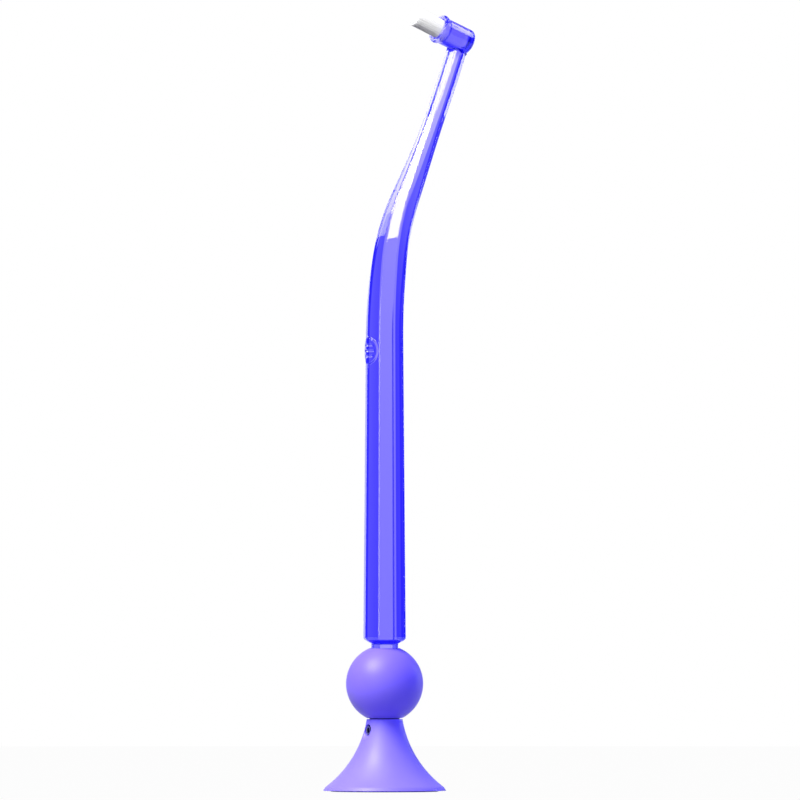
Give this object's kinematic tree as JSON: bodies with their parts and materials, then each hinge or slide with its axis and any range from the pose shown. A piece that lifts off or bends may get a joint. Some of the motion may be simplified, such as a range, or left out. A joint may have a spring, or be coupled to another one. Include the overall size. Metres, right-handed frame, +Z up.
{
  "type": "orthodontic toothbrush",
  "caption": "Single-tuft orthodontic brush with a clear octagonal handle and a bent neck, standing in a swivelling ball on a flared, weighted foot.",
  "frame": {"origin": "centre of the flat underside of the foot", "axes": "+Z up along the stand's and the handle's axis; the neck leans to +X in the XZ plane and the tuft points to -X; apart from the turn of the neck's eight sides, the object is symmetric about that plane"},
  "size_m": [0.0465, 0.035, 0.2235],
  "materials": {
    "clear_violet_plastic": "clear tinted plastic, polished",
    "bristle_nylon": "fine white filaments",
    "anchor_metal": "stamped plate",
    "ball_plastic": "soft satin",
    "foot_plastic": "soft satin",
    "spindle_steel": "turned",
    "screw_steel": "bright plated",
    "washer_plastic": "slippery plastic, dark violet",
    "ballast_steel": "plain, zinc grey",
    "pad_rubber": "soft matte"
  },
  "bodies": {
    "foot": {"foot_shell": "foot_plastic", "foot_pad": "pad_rubber", "ballast_weight": "ballast_steel", "set_screw": "screw_steel", "thrust_washer": "washer_plastic"},
    "ball": {"stand_ball": "ball_plastic", "swivel_spindle": "spindle_steel"},
    "brush": {"brush_body": "clear_violet_plastic", "bristle_tuft": "bristle_nylon", "tuft_anchor": "anchor_metal"}
  },
  "joints": [
    {"name": "ball_swivel", "type": "hinge", "parent": "foot", "child": "ball", "pos_m": [0, 0, 0.02095], "axis": [0, 0, 1], "continuous": true},
    {"name": "brush_lift", "type": "slide", "parent": "ball", "child": "brush", "axis": [0, 0, 1], "range_m": [0, 0.0125]}
  ]
}
